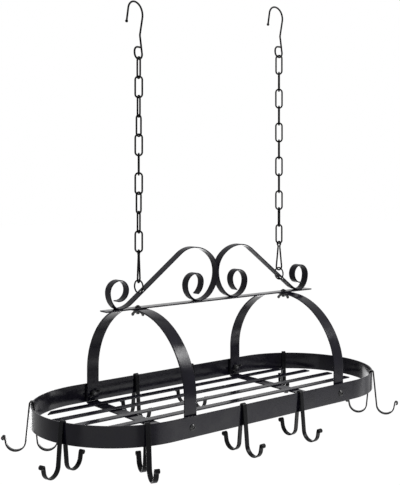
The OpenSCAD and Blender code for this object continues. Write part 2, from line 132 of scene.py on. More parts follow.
def sweep(rings, closed=False):
    sides = len(rings[0][1])
    points, faces = [], []
    for (x, z, heading), outline in rings:
        s, c = math.sin(math.radians(heading)), math.cos(math.radians(heading))
        points += [(x - across * s, side, z + across * c) for across, side in outline]
    for i in range(len(rings) if closed else len(rings) - 1):
        here, ahead = i * sides, (i + 1) % len(rings) * sides
        for k in range(sides):
            m = (k + 1) % sides
            faces.append((here + k, ahead + k, ahead + m, here + m))
    if not closed:
        faces += [tuple(range(sides)), tuple(range(len(points) - sides, len(points)))]
    return points, faces


# A flat strip with rounded edges and rounded ends
def sweepStrip(path, width, thickness, rounding, closed=False):
    whole = stripOutline(width, thickness, rounding)
    if closed:
        return sweep([(at, whole) for at in path], closed=True)
    first, last = path[0], path[-1]
    clear = 1.3 * rounding
    inner = [at for at in path if min(math.dist(at[:2], end[:2]) for end in (first, last)) > clear]
    rings = []
    for at, way in ((first, 1), (last, -1)):
        end = []
        for k in range(4):
            a = math.radians(90 - 30 * k)
            inset = rounding * (1 - math.cos(a))
            end.append((moveOn(at, way * rounding * (1 - math.sin(a)), 0),
                        stripOutline(width, thickness, rounding, inset)))
        rings.append(end)
    return sweep(rings[0] + [(at, whole) for at in inner] + rings[1][::-1])


# The wire's two ends meet in a butt joint, a fine groove all round it
def sweepClosedWire(path, diameter, jointAt, groove=(0.45, 0.22)):
    width, depth = groove
    cuts = ((1, 0), (1.5, 0.75), (2, 1), (2.5, 0.75), (3, 0))
    rings = []
    for i, at in enumerate(path):
        rings.append((at, wireOutline(diameter / 2)))
        if i == jointAt:
            for ahead, cut in cuts:
                rings.append((moveOn(at, ahead * width, 0), wireOutline(diameter / 2 - depth * cut)))
    return sweep(rings, closed=True)


# Quads from each ring of points to the next, and a face on both ends
def ringFaces(rows, sides):
    faces = []
    for i in range(rows):
        for k in range(sides):
            m = (k + 1) % sides
            faces.append((i * sides + k, i * sides + m, (i + 1) * sides + m, (i + 1) * sides + k))
    return faces + [tuple(range(sides)), tuple(range(rows * sides, (rows + 1) * sides))]


# Rings of (height, radius) turned about Z. The last number of a ring is how far its outline
# turns from a circle to a hexagon, whose across-flats size is twice the radius.
def lathe(profile, sides=48):
    points = []
    for z, radius, hexShare in profile:
        for k in range(sides):
            a = 2 * math.pi * k / sides
            flat = (a + math.pi / 6) % (math.pi / 3) - math.pi / 6
            r = radius * (1 + hexShare * (1 / math.cos(flat) - 1))
            points.append((r * math.cos(a), r * math.sin(a), z))
    return points, ringFaces(len(profile) - 1, sides)


def makePiece(name, shapes):
    bm = bmesh.new()
    for (points, faces), place in shapes:
        made = [bm.verts.new(place @ (Vector(p) * mm)) for p in points]
        for face in faces:
            bm.faces.new([made[i] for i in face]).smooth = True
    bmesh.ops.recalc_face_normals(bm, faces=bm.faces)
    mesh = bpy.data.meshes.new(name)
    bm.to_mesh(mesh)
    bm.free()
    mesh.set_sharp_from_angle(angle=sharpAngle)
    piece = bpy.data.objects.new(name, mesh)
    bpy.context.collection.objects.link(piece)
    return piece


def applyModifiers(piece):
    piece.data = bpy.data.meshes.new_from_object(
        piece.evaluated_get(bpy.context.evaluated_depsgraph_get())
    )
    piece.modifiers.clear()
    for face in piece.data.polygons:
        face.use_smooth = True


# Drills along the local Z of each place
def drill(piece, places, diameter, depth):
    tool = lathe([(-depth / 2, diameter / 2, 0), (depth / 2, diameter / 2, 0)], sides=40)
    cutter = makePiece("cutter", [(tool, place) for place in places])
    holes = piece.modifiers.new("holes", "BOOLEAN")
    holes.operation = "DIFFERENCE"
    holes.solver = "EXACT"
    holes.object = cutter
    applyModifiers(piece)
    piece.data.set_sharp_from_angle(angle=sharpAngle)
    bpy.data.objects.remove(cutter)


def turned(x, y, z, turnZ=0.0, turnX=0.0):
    return (Matrix.Translation((x, y, z)) @ Matrix.Rotation(math.radians(turnZ), 4, "Z")
            @ Matrix.Rotation(math.radians(turnX), 4, "X"))


def middleOf(node):
    low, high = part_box(node)
    return (low + high) / 2


finishes = {}


def setPiece(piece, slotName, *nodes):
    piece.data.materials.append(finishes[slotName])
    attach(piece, bodyOf[nodes[0]])
    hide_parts(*nodes)


def startGroup(name, inputs, outputs):
    group = bpy.data.node_groups.new(name, "ShaderNodeTree")
    for label, value in inputs:
        socket = group.interface.new_socket(label, in_out="INPUT", socket_type="NodeSocketFloat")
        socket.default_value = value
    for label in outputs:
        group.interface.new_socket(label, in_out="OUTPUT", socket_type="NodeSocketFloat")
    return group, group.nodes.new("NodeGroupInput"), group.nodes.new("NodeGroupOutput")


def addNoise(tree, coords, scale, detail=2.0, roughness=0.5):
    node = tree.nodes.new("ShaderNodeTexNoise")
    node.inputs["Detail"].default_value = detail
    node.inputs["Roughness"].default_value = roughness
    tree.links.new(coords, node.inputs["Vector"])
    if isinstance(scale, (int, float)):
        node.inputs["Scale"].default_value = scale
    else:
        tree.links.new(scale, node.inputs["Scale"])
    return node.outputs["Fac"]


def addMath(tree, operation, first, second=None):
    node = tree.nodes.new("ShaderNodeMath")
    node.operation = operation
    for socket, value in zip(node.inputs, (first, second)):
        if value is None:
            continue
        if isinstance(value, (int, float)):
            socket.default_value = value
        else:
            tree.links.new(value, socket)
    return node.outputs[0]


def addRange(tree, value, low, high, toLow=0.0, toHigh=1.0):
    node = tree.nodes.new("ShaderNodeMapRange")
    node.interpolation_type = "SMOOTHSTEP"
    for socket, number in zip(("From Min", "From Max", "To Min", "To Max"), (low, high, toLow, toHigh)):
        if isinstance(number, (int, float)):
            node.inputs[socket].default_value = number
        else:
            tree.links.new(number, node.inputs[socket])
    tree.links.new(value, node.inputs["Value"])
    return node.outputs["Result"]


# Powder coat: a fine orange peel over slow waves, and a mottle for colour and gloss
def powderCoatGroup():
    group, given, out = startGroup(
        "powderCoat", [("Peel Scale", 700.0), ("Wave Scale", 90.0)], ["Height", "Mottle"]
    )
    coords = group.nodes.new("ShaderNodeTexCoord").outputs["Object"]
    peel = addNoise(group, coords, given.outputs["Peel Scale"], 2.5, 0.55)
    wave = addNoise(group, coords, given.outputs["Wave Scale"], 1.0)
    fine = addMath(group, "MULTIPLY", peel, 0.35)
    height = addMath(group, "ADD", fine, addMath(group, "MULTIPLY", wave, 0.65))
    mottle = addNoise(group, coords, 34.0, 4.0, 0.6)
    group.links.new(height, out.inputs["Height"])
    group.links.new(addRange(group, mottle, 0.3, 0.7), out.inputs["Mottle"])
    return group


# Edges where the coat is thin, broken up by noise
def edgeWearGroup():
    group, given, out = startGroup(
        "edgeWear", [("Start", 0.53), ("Full", 0.62), ("Breaks", 160.0)], ["Mask"]
    )
    coords = group.nodes.new("ShaderNodeTexCoord").outputs["Object"]
    sharpness = group.nodes.new("ShaderNodeNewGeometry").outputs["Pointiness"]
    edge = addRange(group, sharpness, given.outputs["Start"], given.outputs["Full"])
    broken = addRange(group, addNoise(group, coords, given.outputs["Breaks"], 4.0, 0.65), 0.42, 0.62)
    group.links.new(addMath(group, "MULTIPLY", edge, broken), out.inputs["Mask"])
    return group


# Dust that settles on what faces up
def restingDustGroup():
    group, given, out = startGroup("restingDust", [("Grains", 420.0), ("Amount", 0.5)], ["Mask"])
    coords = group.nodes.new("ShaderNodeTexCoord").outputs["Object"]
    split = group.nodes.new("ShaderNodeSeparateXYZ")
    group.links.new(group.nodes.new("ShaderNodeNewGeometry").outputs["Normal"], split.inputs[0])
    upward = addRange(group, split.outputs["Z"], 0.55, 0.98)
    specks = addRange(group, addNoise(group, coords, given.outputs["Grains"], 3.0, 0.7), 0.45, 0.75)
    drift = addRange(group, addNoise(group, coords, 18.0, 2.0), 0.35, 0.7, 0.25, 1.0)
    dust = addMath(group, "MULTIPLY", addMath(group, "MULTIPLY", upward, specks), drift)
    group.links.new(addMath(group, "MULTIPLY", dust, given.outputs["Amount"]), out.inputs["Mask"])
    return group


# Fine scuffs at one level, where steel rubs on steel
def rubbedBandGroup():
    group, given, out = startGroup("rubbedBand", [("Level", 0.0), ("Reach", 0.004)], ["Mask"])
    coords = group.nodes.new("ShaderNodeTexCoord").outputs["Object"]
    split = group.nodes.new("ShaderNodeSeparateXYZ")
    group.links.new(coords, split.inputs[0])
    above = addMath(group, "SUBTRACT", split.outputs["Z"], given.outputs["Level"])
    away = addMath(group, "ABSOLUTE", above)
    band = addRange(group, away, given.outputs["Reach"], 0.0)
    scuffs = addRange(group, addNoise(group, coords, 520.0, 5.0, 0.7), 0.5, 0.66)
    group.links.new(addMath(group, "MULTIPLY", band, scuffs), out.inputs["Mask"])
    return group


groups = {
    "powderCoat": powderCoatGroup(),
    "edgeWear": edgeWearGroup(),
    "restingDust": restingDustGroup(),
    "rubbedBand": rubbedBandGroup(),
}


def addGroup(tree, name, values):
    node = tree.nodes.new("ShaderNodeGroup")
    node.node_tree = groups[name]
    for label, value in values.items():
        node.inputs[label].default_value = value
    return node


def mixColours(tree, mask, first, second):
    node = tree.nodes.new("ShaderNodeMix")
    node.data_type = "RGBA"
    tree.links.new(mask, node.inputs["Factor"])
    for socket, value in ((node.inputs["A"], first), (node.inputs["B"], second)):
        if isinstance(value, tuple):
            socket.default_value = (*value, 1)
        else:
            tree.links.new(value, socket)
    return node.outputs["Result"]


# How much roughness varies, what dust and rubbing do to it, and the depth of the coat's waves in metres
coat = {
    "spread": 0.05, "dustDulls": 0.5, "rubPolishes": 0.15, "dustColour": (0.16, 0.155, 0.15),
    "waveDepth": 0.00025,
}


# A black coat on steel: mottled colour, worn edges, scuffs where pieces rub, and dust on top. On the
# fasteners the worn edges are lightened into a painted highlight ring.
def coatedSteel(slotName, look):
    material = bpy.data.materials.new(slotName)
    material.use_nodes = True
    tree = material.node_tree
    shader = tree.nodes["Principled BSDF"]
    peel = addGroup(tree, "powderCoat", {"Peel Scale": look["peelScale"], "Wave Scale": look["waveScale"]})
    wear = addGroup(tree, "edgeWear", {"Start": look["wearStart"], "Full": look["wearFull"]})
    dust = addGroup(tree, "restingDust", {"Amount": look["dust"]})
    rub = addGroup(tree, "rubbedBand", {"Level": look["rubLevel"], "Reach": look["rubReach"]})
    colour = mixColours(tree, peel.outputs["Mottle"], look["colour"], look["paleColour"])
    wearAndSheenMask = addMath(tree, "MAXIMUM", addMath(tree, "MULTIPLY", wear.outputs["Mask"], look["wear"]),
                      addMath(tree, "MULTIPLY", rub.outputs["Mask"], look["rub"]))
    # worn edges and scuffs; with the fasteners' light worn colour this also paints a highlight ring on the
    # bolt heads
    colour = mixColours(tree, wearAndSheenMask, colour, look["wearAndSheenColour"])
    colour = mixColours(tree, dust.outputs["Mask"], colour, coat["dustColour"])
    tree.links.new(colour, shader.inputs["Base Color"])
    smooth, dull = look["roughness"] - coat["spread"], look["roughness"] + coat["spread"]
    gloss = addRange(tree, peel.outputs["Mottle"], 0.0, 1.0, smooth, dull)
    dulled = addMath(tree, "ADD", gloss, addMath(tree, "MULTIPLY", dust.outputs["Mask"], coat["dustDulls"]))
    polished = addMath(tree, "SUBTRACT", dulled, addMath(tree, "MULTIPLY", wearAndSheenMask, coat["rubPolishes"]))
    tree.links.new(polished, shader.inputs["Roughness"])
    shader.inputs["Specular IOR Level"].default_value = look["gloss"]
    bump = tree.nodes.new("ShaderNodeBump")
    bump.inputs["Strength"].default_value = look["bump"]
    bump.inputs["Distance"].default_value = coat["waveDepth"]
    tree.links.new(peel.outputs["Height"], bump.inputs["Height"])
    tree.links.new(bump.outputs["Normal"], shader.inputs["Normal"])
    finishes[slotName] = material


rimLow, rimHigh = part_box("rim")

strapLook = {
    "colour": (0.0036, 0.0031, 0.0070), "paleColour": (0.0062, 0.0054, 0.0110),
    "wearAndSheenColour": (0.050, 0.048, 0.050), "roughness": 0.20, "gloss": 0.12, "bump": 0.14,
    "peelScale": 760.0, "waveScale": 95.0, "wearStart": 0.54, "wearFull": 0.66, "wear": 0.40,
    "rubLevel": rimHigh.z, "rubReach": 0.0025, "rub": 0.30, "dust": 0.06,
}
scrollLook = {**strapLook, "roughness": 0.36, "gloss": 0.08, "waveScale": 130.0, "rub": 0.0}
chainLook = {
    **strapLook, "colour": (0.0024, 0.0024, 0.0030), "paleColour": (0.0042, 0.0042, 0.0050),
    "roughness": 0.34, "gloss": 0.03, "peelScale": 1100.0, "waveScale": 260.0, "wearStart": 0.60,
    "wearFull": 0.80, "wear": 0.16, "rub": 0.0, "dust": 0.02, "bump": 0.05,
}
hookLook = {
    **strapLook, "colour": (0.0036, 0.0036, 0.0044), "paleColour": (0.0062, 0.0062, 0.0074),
    "roughness": 0.32, "gloss": 0.08, "rubReach": 0.005, "rub": 0.4, "waveScale": 150.0,
}
# Fasteners: the worn colour is light enough to paint a highlight ring round each bolt head's rim, on top of
# real edge wear
fastenerLook = {
    **strapLook, "colour": (0.0050, 0.0050, 0.0056), "paleColour": (0.0080, 0.0078, 0.0086),
    "wearAndSheenColour": (0.11, 0.108, 0.105), "roughness": 0.26, "gloss": 0.42, "peelScale": 1500.0,
    "waveScale": 400.0, "wearStart": 0.56, "wearFull": 0.72, "rub": 0.0, "bump": 0.12,
}
for slotName, look in (
    ("strap_coat", strapLook), ("scroll_coat", scrollLook), ("chain_coat", chainLook),
    ("hook_coat", hookLook), ("fastener_black", fastenerLook),
):
    coatedSteel(slotName, look)
print("finishes:", len(finishes))


# Basket
strap = {"thickness": 2.5, "rounding": 0.6, "holeSize": 6.4, "holeDepth": 12.0}
rimCentreX = (rimHigh.x - rimHigh.y) / mm  # the rim's ends are half circles
boltLow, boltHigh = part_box("rim_bolts")
boltZ = (boltLow.z + boltHigh.z) / 2
archX = middleOf("arch_right").x
rimBoltPlaces = [
    turned(x, side * rimHigh.y, boltZ, turnX=side * 90) for x in (-archX, archX) for side in (-1, 1)
]


def makeRim():
    radius = rimHigh.y / mm - strap["thickness"] / 2
    height = (rimHigh.z - rimLow.z) / mm
    steps = [(2 * rimCentreX, 0), (radius, 180)] * 2
    path = pathAlong(steps, (-rimCentreX, -radius, 0.0), ringAngle=3.0)[:-1]
    shape = sweepStrip(path, height, strap["thickness"], strap["rounding"], closed=True)
    piece = makePiece("rimStrap", [(shape, turned(0, 0, (rimLow.z + rimHigh.z) / 2, turnX=-90))])
    drill(piece, rimBoltPlaces, strap["holeSize"], strap["holeDepth"])
    setPiece(piece, "strap_coat", "rim")


# A straight bar that fills its node's box, with both ends cut back by `mitre` on one edge
def makeBar(name, node, holes=(), mitre=0.0):
    low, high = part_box(node)
    length, width, thickness = (high - low) / mm
    path = pathAlong([(length, 0)], (low.x / mm, 0.0, 0.0))
    points, faces = sweepStrip(path, width, thickness, strap["rounding"])
    points = [(x - math.copysign(abs(mitre) / 2 + mitre * y / width, x), y, z) for x, y, z in points]
    shape = (points, faces)
    piece = makePiece(name, [(shape, turned(0, (low.y + high.y) / 2, (low.z + high.z) / 2))])
    if holes:
        drill(piece, holes, strap["holeSize"], strap["holeDepth"])
    setPiece(piece, "strap_coat", node)


crossbar = {"bendRadius": 4.0}


def makeCrossbar(side):
    node = "crossbar_" + side
    low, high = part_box(node)
    t = strap["thickness"]
    bend = crossbar["bendRadius"]
    flat = high.y / mm - t / 2 - bend
    tab = (high.z - low.z) / mm - t / 2 - bend
    half = [(flat, 0), (bend, 90), (tab, 0)]
    shape = sweepStrip(bothWays(half, half, 6.0), (high.x - low.x) / mm, t, strap["rounding"])
    place = turned(middleOf(node).x, 0, low.z + t / 2 * mm, 90)
    piece = makePiece("crossbar" + side.title(), [(shape, place)])
    drill(piece, rimBoltPlaces, strap["holeSize"], strap["holeDepth"])
    setPiece(piece, "strap_coat", node)


slat = {"count": 6, "mitre": 15.0}
slatNumbers = range(1, slat["count"] + 1)

makeRim()
for number in slatNumbers:
    mitre = {1: -slat["mitre"], slat["count"]: slat["mitre"]}.get(number, 0.0)  # the outer two only
    makeBar(f"slat{number}", f"slat_{number}", mitre=mitre)
for side in ("left", "right"):
    makeCrossbar(side)
print("basket made")


# Arches and top bar
arch = {"springHeight": 45.0, "sideRadius": 110.0, "flat": 20.0}
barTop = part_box("top_bar")[1].z
topBoltPlaces = [turned(x, 0, barTop, turnX=180) for x in (-archX, archX)]


def makeArch(side):
    node = "arch_" + side
    low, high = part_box(node)
    t = strap["thickness"]
    rimMiddle = (rimLow.z + rimHigh.z) / 2
    apex = (high.z - rimMiddle) / mm - t / 2
    legBottom = (low.z - rimMiddle) / mm
    shoulderY = high.y / mm - t / 2 - arch["sideRadius"] - arch["flat"] / 2
    extra = apex - arch["springHeight"] - arch["sideRadius"]
    drop = (shoulderY ** 2 - extra ** 2) / (2 * extra)
    turn = math.degrees(math.atan2(drop, shoulderY))
    half = [(arch["flat"] / 2, 0), (arch["sideRadius"] + extra + drop, turn - 90),
            (arch["sideRadius"], -turn), (arch["springHeight"] - legBottom, 0)]
    shape = sweepStrip(bothWays(half, half, 2.5), (high.x - low.x) / mm, t, strap["rounding"])
    place = turned(middleOf(node).x, 0, high.z - t / 2 * mm, 90)
    piece = makePiece("arch" + side.title(), [(shape, place)])
    drill(piece, rimBoltPlaces + topBoltPlaces, strap["holeSize"], strap["holeDepth"])
    setPiece(piece, "strap_coat", node)


for side in ("left", "right"):
    makeArch(side)
makeBar("topBar", "top_bar", topBoltPlaces)
print("arches and top bar made")


# Scrolls, from the crest outwards and inwards
scroll = {
    "width": 16.0, "thickness": 2.0, "rounding": 0.55, "slope": 36.5, "shoulder": 50.0, "crest": 62.0,
    "bow": 42.0, "belly": 55.0, "foot": 38.0, "innerVolute": (29.0, 21.0, 16.0), "innerTail": (26.0, 58.0),
    "heel": 40.0, "outerRise": (16.0, 34.0), "outerVolute": (20.0, 17.5), "outerTail": (18.0, 100.0),
    "ringHole": 10.2, "holeInset": 4.0, "holeUp": 0.75,
}


def scrollSteps(rise):
    slope = math.radians(scroll["slope"])
    bends = (scroll["shoulder"] + scroll["heel"]) * (1 - math.cos(slope))
    run = (rise - bends) / math.sin(slope)
    inner = [(scroll[name], -45) for name in ("crest", "bow", "belly", "foot")]
    inner += [(radius, -90) for radius in scroll["innerVolute"]]
    inner.append((scroll["innerTail"][0], -scroll["innerTail"][1]))
    outer = [(scroll["shoulder"], -scroll["slope"]), (run, 0), (scroll["heel"], scroll["slope"])]
    outer += [(radius, 45) for radius in scroll["outerRise"]]
    outer += [(radius, 90) for radius in scroll["outerVolute"]] + [scroll["outerTail"]]
    return outer, inner, run


def makeScroll(side, way):
    node = "scroll_" + side
    low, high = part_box(node)
    t = scroll["thickness"]
    rise = (high.z - low.z) / mm - t
    outer, inner, run = scrollSteps(rise)
    eighth = math.radians(45)
    crestX = -t / 2 - scroll["crest"] * math.sin(eighth) - scroll["bow"] * (1 - math.cos(eighth))
    crestZ = high.z / mm - t / 2
    shape = sweepStrip([(x + crestX, z + crestZ, h) for x, z, h in bothWays(outer, inner, 3.0)],
                       scroll["width"], t, scroll["rounding"])
    piece = makePiece("scroll" + side.title(), [(shape, Matrix.Scale(way, 4, (1, 0, 0)))])
    ringX = abs(middleOf("ring_left").x) / mm
    slope = math.radians(scroll["slope"])
    heelX = crestX - scroll["shoulder"] * math.sin(slope) - run * math.cos(slope)
    heelZ = crestZ - rise + scroll["heel"] * (1 - math.cos(slope))
    holeZ = heelZ + (-ringX - heelX) * math.tan(slope)
    holeY = scroll["width"] / 2 - scroll["holeInset"] - scroll["ringHole"] / 2
    place = (Matrix.Scale(way, 4, (1, 0, 0)) @ Matrix.Translation(Vector((-ringX, holeY, holeZ)) * mm)
             @ Matrix.Rotation(-slope, 4, "Y") @ Matrix.Translation((scroll["holeUp"] * mm, 0, 0)))
    drill(piece, [place], scroll["ringHole"], 3 * t)
    setPiece(piece, "scroll_coat", node)
    feet = [pathAlong(inner[:4])[-1][0], -pathAlong(outer[:3])[-1][0]]
    bows = pathAlong(inner[:2])[-1]
    return [way * (crestX + x) * mm for x in feet], (crestZ + bows[1]) * mm


leftFeet, meetingZ = makeScroll("left", 1)
rightFeet, _ = makeScroll("right", -1)
scrollFeet = leftFeet + rightFeet
print("scrolls made")


def turnOf(node, x, y):
    far = max(frame["nodes"][node].data.vertices, key=lambda v: math.hypot(v.co.x - x, v.co.y - y)).co
    return math.degrees(math.atan2(far.y - y, far.x - x))


chain = {
    "wire": 3.2, "linkWidth": 15.6, "ringWire": 2.8, "ringStraight": 2.0, "ringGroove": (0.4, 0.2),
}
taper = {"top": 4.2, "neck": 4.0, "neckTurn": 40.0, "lean": 7.0, "side": 39.0}
ceilingHook = {
    "rod": 3.4, "ball": 5.4, "eyeClose": 8.0, "eyeSide": 2.0, "eyeOpen": 11.0, "eyeShank": 8.8,
    "play": 0.35, "shankTurn": 100.0, "shankLower": 31.0, "kink": (8.0, 22.0), "shankUpper": 30.0,
    "bend": 21.5, "nose": (16.0, 80.0), "noseEnd": 24.0, "ballNeck": 1.2, "ballRings": 12,
}


def makeLink(name, node):
    low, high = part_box(node)
    x, y, z = (low + high) / 2
    radius = (chain["linkWidth"] - chain["wire"]) / 2
    straight = (high.z - low.z) / mm - chain["linkWidth"]
    steps = [(straight, 0), (radius, 180)] * 2
    path = pathAlong(steps, (radius, -straight / 2, 90.0), ringAngle=9.0, holdBack=straight / 2 - 1.0)[:-1]
    shape = sweepClosedWire(path, chain["wire"], 1)
    setPiece(makePiece(name, [(shape, turned(x, y, z, turnOf(node, x, y)))]), "chain_coat", node)


def makeRing(name, node):
    low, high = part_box(node)
    x, y, z = (low + high) / 2
    radius = (high.z - low.z) / mm / 2 - chain["ringWire"] / 2
    gap = chain["ringStraight"]  # a short straight stretch at the side holds the butt joint
    half = math.degrees(gap / 2 / radius)
    path = pathAlong([(gap, 0), (radius, 360 - 2 * half)], (radius, -gap / 2, 90.0), ringAngle=6.0)[:-1]
    shape = sweepClosedWire(path, chain["ringWire"], 0, chain["ringGroove"])
    setPiece(makePiece(name, [(shape, turned(x, y, z, turnOf(node, x, y)))]), "chain_coat", node)


def makeTaperedLink(name, node, x, y):
    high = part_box(node)[1]
    lean, neckTurn = math.radians(taper["lean"]), 90 + taper["neckTurn"]
    a = math.radians(neckTurn)
    neckX = taper["top"] * math.sin(a) - taper["neck"] * (math.cos(lean) - math.sin(a))
    bottom = (neckX + taper["side"] * math.sin(lean)) / math.cos(lean)
    neck = [(taper["neck"], taper["neckTurn"] + taper["lean"]), (taper["side"], 0)]
    steps = [(taper["top"], -2 * neckTurn)] + neck + [(bottom, -180 - 2 * taper["lean"])] + neck[::-1]
    start = (-taper["top"] * math.sin(a), -taper["top"] * (1 - math.cos(a)), neckTurn)
    path = pathAlong(steps, start, ringAngle=5.0)[:-1]
    jointAt = len(pathAlong(steps[:2], start, ringAngle=5.0))
    shape = sweepClosedWire(path, chain["wire"], jointAt)
    place = turned(x, y, high.z - chain["wire"] / 2 * mm, turnOf(node, x, y))
    setPiece(makePiece(name, [(shape, place)]), "chain_coat", node)


def makeCeilingHook(name, node, x, y):
    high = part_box(node)[1]
    hook = ceilingHook
    r = hook["rod"] / 2
    shankTurn = math.radians(hook["shankTurn"])
    eyeTop = hook["eyeOpen"] + hook["eyeSide"] + hook["eyeClose"]
    shankX = (hook["eyeShank"] * math.sin(shankTurn)
              + (eyeTop - hook["eyeShank"] * (1 - math.cos(shankTurn))) / math.tan(shankTurn))
    endX = shankX - r - hook["play"]
    kinkSize, kinkTurn = hook["kink"]
    steps = [
        (endX + hook["eyeOpen"] - hook["eyeClose"], 0), (hook["eyeClose"], 90), (hook["eyeSide"], 0),
        (hook["eyeOpen"], 90), (hook["eyeShank"], hook["shankTurn"]), (hook["shankLower"], 0),
        (kinkSize, -kinkTurn), (hook["shankUpper"], 0), (hook["bend"], 180 - hook["shankTurn"] + kinkTurn),
        hook["nose"], (hook["noseEnd"], 0),
    ]
    path = pathAlong(steps, (endX, eyeTop, 180.0), ringAngle=4.0)
    rings = [(moveOn(path[0], ahead, 0), wireOutline(r - cut)) for ahead, cut in ((0.04, 0.5), (0.25, 0.15))]
    rings += [(at, wireOutline(r)) for at in path[1:-1]]
    ball = hook["ball"] / 2
    swell = math.asin(r / ball)  # where the ball comes out of the rod
    rings.append((moveOn(path[-1], -ball * math.cos(swell) - hook["ballNeck"], 0), wireOutline(r)))
    for k in range(hook["ballRings"] + 1):
        a = swell + (math.radians(178) - swell) * k / hook["ballRings"]
        rings.append((moveOn(path[-1], -ball * math.cos(a), 0), wireOutline(ball * math.sin(a))))
    lift = high.z / mm - max(at[1] for at in path) - r
    place = turned(x, y, lift * mm, turnOf(node, x, y) + 180)
    setPiece(makePiece(name, [(sweep(rings), place)]), "chain_coat", node)


for side in ("left", "right"):
    links = [node for node in bodyOf if node.startswith(side + "_link_")]
    links.sort(key=lambda node: int(node.split("_")[-1]))
    axis = middleOf(links[0])
    for number, node in enumerate(links, 1):
        makeLink(f"{side}Link{number}", node)
    makeTaperedLink(f"{side}TaperedLink", "tapered_link_" + side, axis.x, axis.y)
    makeRing(f"{side}Ring", "ring_" + side)
    makeCeilingHook(f"{side}CeilingHook", "ceiling_hook_" + side, axis.x, axis.y)
print("chains made")


potHook = {
    "count": 9, "width": 8.5, "thickness": 2.5, "rounding": 0.7, "saddle": 3.45, "lean": 5.7, "leg": 65.0,
    "cup": (17.0, 164.0), "rise": 9.0, "tip": (2.5, 280.0),
}


def makePotHook(number):
    node = f"pot_hook_{number}"
    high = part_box(node)[1]
    x, y, _ = middleOf(node)
    outwards = math.copysign(rimCentreX * mm, x)
    onSide = abs(x) < rimCentreX * mm
    yaw = math.copysign(90, y) if onSide else math.degrees(math.atan2(y, x - outwards))
    half = [
        (potHook["saddle"], potHook["lean"] - 90), (potHook["leg"], 0), potHook["cup"],
        (potHook["rise"], 0), (potHook["tip"][0], -potHook["tip"][1]),
    ]
    path = bothWays(half, half, 4.0)
    shape = sweepStrip(path, potHook["width"], potHook["thickness"], potHook["rounding"])
    place = turned(x, y, high.z - potHook["thickness"] / 2 * mm, yaw)
    setPiece(makePiece(f"potHook{number}", [(shape, place)]), "hook_coat", node)


for number in range(1, potHook["count"] + 1):
    makePotHook(number)
print("pot hooks made")


bolt = {
    "diameter": 6.0, "head": 11.0, "headHeight": 3.3, "rimHeight": 0.8, "socket": 4.0, "socketDepth": 2.0,
    "pitch": 1.0, "threadDepth": 0.32, "threadEarly": 1.0, "threadFade": 0.7, "endCut": 0.5, "end": 2.0,
}
nut = {
    "hub": 10.5, "hubHeight": 5.0, "span": 24.0, "height": 10.5, "tip": 3.0, "wing": 2.0,
    "bore": 6.2, "voxel": 0.32, "rimTurn": 25, "topTurn": 50,
}


# The button head with its shank, and the thread on it
def boltShapes(grip):
    r, headR, h = bolt["diameter"] / 2, bolt["head"] / 2, bolt["headHeight"]
    socket = bolt["socket"] / 2
    top = -h
    floor = top + bolt["socketDepth"]
    profile = [(floor, 0.02, 0), (floor, socket * 0.9, 1), (floor - 0.15, socket, 1),
               (top + 0.22, socket, 1), (top, socket + 0.2, 0.8)]
    dome = h - bolt["rimHeight"]
    domeR = (headR ** 2 + dome ** 2) / (2 * dome)
    for k in range(1, 9):
        x = (socket + 0.5) + (headR - socket - 0.5) * k / 8
        profile.append((top + domeR - math.sqrt(domeR ** 2 - x ** 2) + 0.06, x, 0))
    profile += [(-0.5, headR, 0), (-0.12, headR - 0.06, 0), (0.0, headR - 0.25, 0), (0.0, r + 0.25, 0),
                (0.3, r, 0)]
    shank = grip + nut["hubHeight"] + bolt["end"]
    return lathe(profile + [(shank - 0.05, r, 0)], 48), threadShape(grip - bolt["threadEarly"], shank)


# A ridge that climbs one pitch a turn and fades out towards the bolt's end
def threadShape(start, end, sides=32, perPitch=8):
    rows = int((end - start) / bolt["pitch"] * perPitch)
    points = []
    for i in range(rows + 1):
        z = start + (end - start) * i / rows
        cut = bolt["endCut"] * (1 - min(1.0, (end - z) / bolt["threadFade"]))
        for k in range(sides):
            a = 2 * math.pi * k / sides
            phase = (z / bolt["pitch"] - k / sides) % 1.0
            ridge = 1 - abs(2 * phase - 1)
            r = bolt["diameter"] / 2 + 0.02 - bolt["threadDepth"] * (1 - ridge) - cut
            points.append((r * math.cos(a), r * math.sin(a), z))
    return points, ringFaces(rows, sides)


def makeBolts(name, node, places, grip):
    shapes = [(shape, place) for place in places for shape in boltShapes(grip)]
    setPiece(makePiece(name, shapes), "fastener_black", node)


# One wing nut: hub and ears cast in one, so the pieces are melted together by a remesh
def wingNutMesh():
    hub = nut["hub"] / 2
    hubShape = lathe([(0, 0.5, 0), (0, hub - 0.5, 0), (0.5, hub, 0), (nut["hubHeight"] - 0.6, hub - 0.9, 0),
                      (nut["hubHeight"], hub - 1.5, 0), (nut["hubHeight"], 0.5, 0)])
    tip, wing, span, height = nut["tip"], nut["wing"], nut["span"] / 2, nut["height"]
    outline = [(0.5, 0.8), (hub, 0.8), (hub + 2.2, 1.6), (span - 0.9, height - tip - 2.0)]
    for k in range(9):
        a = math.radians(-25 + 150 * k / 8)
        outline.append((span - tip + tip * math.cos(a), height - tip + tip * math.sin(a)))
    outline += [(span - 2 * tip + 0.2, height - tip), (hub - 0.4, nut["hubHeight"] + 0.6)]
    outline.append((0.5, nut["hubHeight"] - 0.4))
    n = len(outline)
    points = [(x, side * wing / 2, z) for side in (-1, 1) for x, z in outline]
    faces = [(k, (k + 1) % n, n + (k + 1) % n, n + k) for k in range(n)]
    faces += [tuple(range(n)), tuple(range(n, 2 * n))]
    ears = [((points, faces), Matrix.Rotation(turn, 4, "Z")) for turn in (0, math.pi)]
    piece = makePiece("wingNut", [(hubShape, Matrix.Identity(4))] + ears)
    melt = piece.modifiers.new("melt", "REMESH")
    melt.mode = "VOXEL"
    melt.voxel_size = nut["voxel"] * mm
    melt.use_smooth_shade = True
    soften = piece.modifiers.new("soften", "SMOOTH")
    soften.iterations = 4
    applyModifiers(piece)
    drill(piece, [Matrix.Identity(4)], nut["bore"], 40.0)
    return piece


